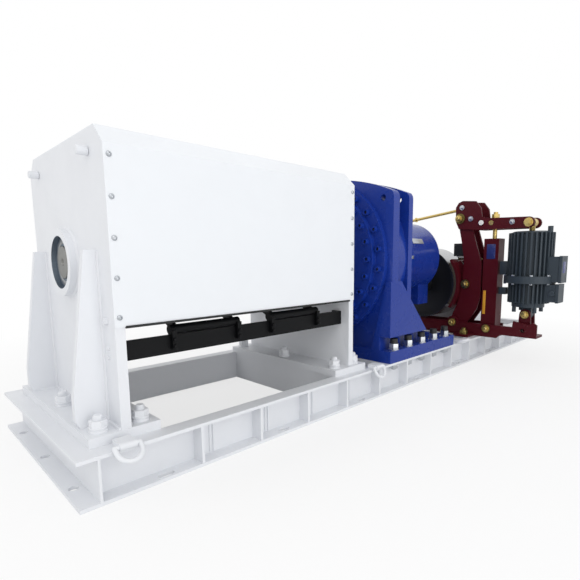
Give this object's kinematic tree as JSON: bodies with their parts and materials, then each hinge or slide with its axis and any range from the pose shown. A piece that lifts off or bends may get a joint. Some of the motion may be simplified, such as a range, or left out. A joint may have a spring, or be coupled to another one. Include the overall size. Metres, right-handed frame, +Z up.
{
  "type": "servo winch",
  "caption": "Servo-driven rope winch: guarded drum on two stands, planetary gear unit, spring-set drum brake with lifting thruster and servo motor on a welded channel frame.",
  "frame": {"origin": "centre of the base frame's anchor slot pattern, on its underside", "axes": "+X along the winch from the rope drum to the motor, +Y away from the brake thruster's side, +Z up"},
  "size_m": [2.82, 1.1364, 0.891],
  "materials": {
    "white_paint": "semi-gloss grey white paint",
    "cover_paint": "semi-gloss grey white paint on sheet",
    "blue_paint": "gloss blue paint",
    "red_paint": "gloss dark red paint",
    "thruster_paint": "satin dark grey paint",
    "zinc_yellow": "yellow zinc plating",
    "zinc_clear": "clear zinc plating",
    "bare_steel": "turned steel",
    "brake_iron": "blackened cast iron",
    "black_paint": "satin black paint",
    "rope_drum_steel": "machined and oiled steel",
    "lining": "friction lining",
    "black_rubber": "black rubber",
    "black_plastic": "black plastic"
  },
  "bodies": {
    "frame": {"side_rails": "white_paint", "end_channels": "white_paint", "cross_members": "white_paint", "left_stand": "white_paint", "right_stand": "white_paint", "stand_bolts": "zinc_clear", "lifting_studs": "white_paint", "guard_cover": "cover_paint", "cover_edge_strip": "black_rubber", "cover_screws": "zinc_clear", "shaft_bearings": "bare_steel", "press_bar": "black_paint", "press_brackets": "black_paint", "press_bolts": "white_paint", "gear_housing": "blue_paint", "gear_front_flange": "blue_paint", "gear_flange_bolts": "blue_paint", "planet_case": "blue_paint", "input_case": "blue_paint", "gear_plugs": "zinc_clear", "gear_foot_bolts": "zinc_clear", "bolt_caps": "black_plastic", "servo_motor": "black_paint", "motor_bracket": "white_paint", "motor_bolts": "zinc_clear", "brake_base": "red_paint", "brake_base_pins": "zinc_yellow", "pad_eyes": "white_paint"},
    "drum": {"rope_drum": "rope_drum_steel", "drum_shaft": "bare_steel", "drum_coupling": "black_paint"},
    "motor_line": {"input_shaft": "bare_steel", "brake_drum": "brake_iron", "motor_coupling": "black_paint"},
    "near_arm": {"near_lever": "red_paint", "near_lever_pins": "zinc_yellow", "limit_switch": "black_plastic"},
    "far_arm": {"far_lever": "red_paint", "far_lever_pins": "zinc_yellow"},
    "near_pad": {"near_shoe": "red_paint", "near_lining": "lining"},
    "far_pad": {"far_shoe": "red_paint", "far_lining": "lining"},
    "crank": {"release_crank": "red_paint", "crank_bolts": "zinc_yellow"},
    "tie": {"tie_rod": "zinc_yellow"},
    "spring_case": {"spring_tube": "red_paint"},
    "spring_bar": {"spring_rod": "zinc_yellow"},
    "thruster": {"thruster_body": "thruster_paint", "terminal_boxes": "thruster_paint"},
    "thruster_bar": {"thruster_rod": "zinc_yellow"},
    "press_left": {"press_arm_left": "black_paint"},
    "press_right": {"press_arm_right": "black_paint"},
    "roller_left": {"press_roller_left": "bare_steel"},
    "roller_right": {"press_roller_right": "bare_steel"},
    "ring_1": {"lift_ring_1": "white_paint"},
    "ring_2": {"lift_ring_2": "white_paint"},
    "ring_3": {"lift_ring_3": "white_paint"},
    "ring_4": {"lift_ring_4": "white_paint"},
    "ring_5": {"lift_ring_5": "white_paint"},
    "ring_6": {"lift_ring_6": "white_paint"}
  },
  "joints": [
    {"name": "motor_spin", "type": "hinge", "parent": "frame", "child": "motor_line", "pos_m": [0.6, 0, 0.4], "axis": [1, 0, 0], "continuous": true},
    {"name": "drum_spin", "type": "hinge", "parent": "frame", "child": "drum", "pos_m": [-0.85, 0, 0.545], "axis": [1, 0, 0], "continuous": true},
    {"name": "thruster_stroke", "type": "slide", "parent": "thruster", "child": "thruster_bar", "axis": [0, 0, 1], "range_m": [0, 0.05]},
    {"name": "thruster_tilt", "type": "hinge", "parent": "frame", "child": "thruster", "pos_m": [0.68, -0.57, 0.255], "axis": [1, 0, 0], "range_deg": [0, 0.7334]},
    {"name": "near_lever_swing", "type": "hinge", "parent": "frame", "child": "near_arm", "pos_m": [0.68, -0.19, 0.182], "axis": [1, 0, 0], "range_deg": [0, 0.4036]},
    {"name": "far_lever_swing", "type": "hinge", "parent": "frame", "child": "far_arm", "pos_m": [0.68, 0.19, 0.182], "axis": [-1, 0, 0], "range_deg": [0, 0.4036]},
    {"name": "near_shoe_swing", "type": "hinge", "parent": "near_arm", "child": "near_pad", "pos_m": [0.68, -0.252, 0.4], "axis": [-1, 0, 0], "range_deg": [0, 0.4036]},
    {"name": "far_shoe_swing", "type": "hinge", "parent": "far_arm", "child": "far_pad", "pos_m": [0.68, 0.252, 0.4], "axis": [1, 0, 0], "range_deg": [0, 0.4036]},
    {"name": "crank_swing", "type": "hinge", "parent": "near_arm", "child": "crank", "pos_m": [0.68, -0.214, 0.757], "axis": [-1, 0, 0], "range_deg": [0, 8.44]},
    {"name": "tie_rod_swing", "type": "hinge", "parent": "crank", "child": "tie", "pos_m": [0.68, -0.223, 0.815], "axis": [1, 0, 0], "range_deg": [0, 7.94]},
    {"name": "spring_tilt", "type": "hinge", "parent": "frame", "child": "spring_case", "pos_m": [0.68, -0.384, 0.166], "axis": [1, 0, 0], "range_deg": [0, 0.6912]},
    {"name": "spring_stroke", "type": "slide", "parent": "spring_case", "child": "spring_bar", "axis": [0, 0, 1], "range_m": [0, 0.02384]},
    {"name": "press_left_swing", "type": "hinge", "parent": "frame", "child": "press_left", "pos_m": [-1.021, -0.258, 0.365], "axis": [-1, 0, 0], "range_deg": [0, 15]},
    {"name": "roller_left_spin", "type": "hinge", "parent": "press_left", "child": "roller_left", "pos_m": [-1.021, -0.12401, 0.42524], "axis": [1, 0, 0], "continuous": true},
    {"name": "press_right_swing", "type": "hinge", "parent": "frame", "child": "press_right", "pos_m": [-0.679, -0.258, 0.365], "axis": [-1, 0, 0], "range_deg": [0, 15]},
    {"name": "roller_right_spin", "type": "hinge", "parent": "press_right", "child": "roller_right", "pos_m": [-0.679, -0.12401, 0.42524], "axis": [1, 0, 0], "continuous": true},
    {"name": "ring_1_swing", "type": "hinge", "parent": "frame", "child": "ring_1", "pos_m": [-1.302, -0.364, 0.129], "axis": [-1, 0, 0], "range_deg": [-50, 100]},
    {"name": "ring_2_swing", "type": "hinge", "parent": "frame", "child": "ring_2", "pos_m": [-0.326, -0.364, 0.129], "axis": [-1, 0, 0], "range_deg": [-25, 125]},
    {"name": "ring_3_swing", "type": "hinge", "parent": "frame", "child": "ring_3", "pos_m": [0.37, -0.364, 0.129], "axis": [-1, 0, 0], "range_deg": [-110, 35]},
    {"name": "ring_4_swing", "type": "hinge", "parent": "frame", "child": "ring_4", "pos_m": [-1.302, 0.364, 0.129], "axis": [1, 0, 0], "range_deg": [-50, 100]},
    {"name": "ring_5_swing", "type": "hinge", "parent": "frame", "child": "ring_5", "pos_m": [-0.326, 0.364, 0.129], "axis": [1, 0, 0], "range_deg": [-25, 125]},
    {"name": "ring_6_swing", "type": "hinge", "parent": "frame", "child": "ring_6", "pos_m": [0.37, 0.364, 0.129], "axis": [1, 0, 0], "range_deg": [-110, 35]}
  ],
  "couplings": [
    {"joint": "drum_spin", "follows": "motor_spin", "ratio": 0.031746},
    {"joint": "thruster_tilt", "follows": "thruster_stroke", "rad_per_m": 0.25578},
    {"joint": "near_lever_swing", "follows": "thruster_stroke", "rad_per_m": 0.14069},
    {"joint": "far_lever_swing", "follows": "thruster_stroke", "rad_per_m": 0.14069},
    {"joint": "near_shoe_swing", "follows": "thruster_stroke", "rad_per_m": 0.14069},
    {"joint": "far_shoe_swing", "follows": "thruster_stroke", "rad_per_m": 0.14069},
    {"joint": "crank_swing", "follows": "thruster_stroke", "rad_per_m": 2.9468},
    {"joint": "tie_rod_swing", "follows": "thruster_stroke", "rad_per_m": 2.77},
    {"joint": "spring_tilt", "follows": "thruster_stroke", "rad_per_m": 0.24103},
    {"joint": "spring_stroke", "follows": "thruster_stroke", "ratio": 0.47664}
  ]
}
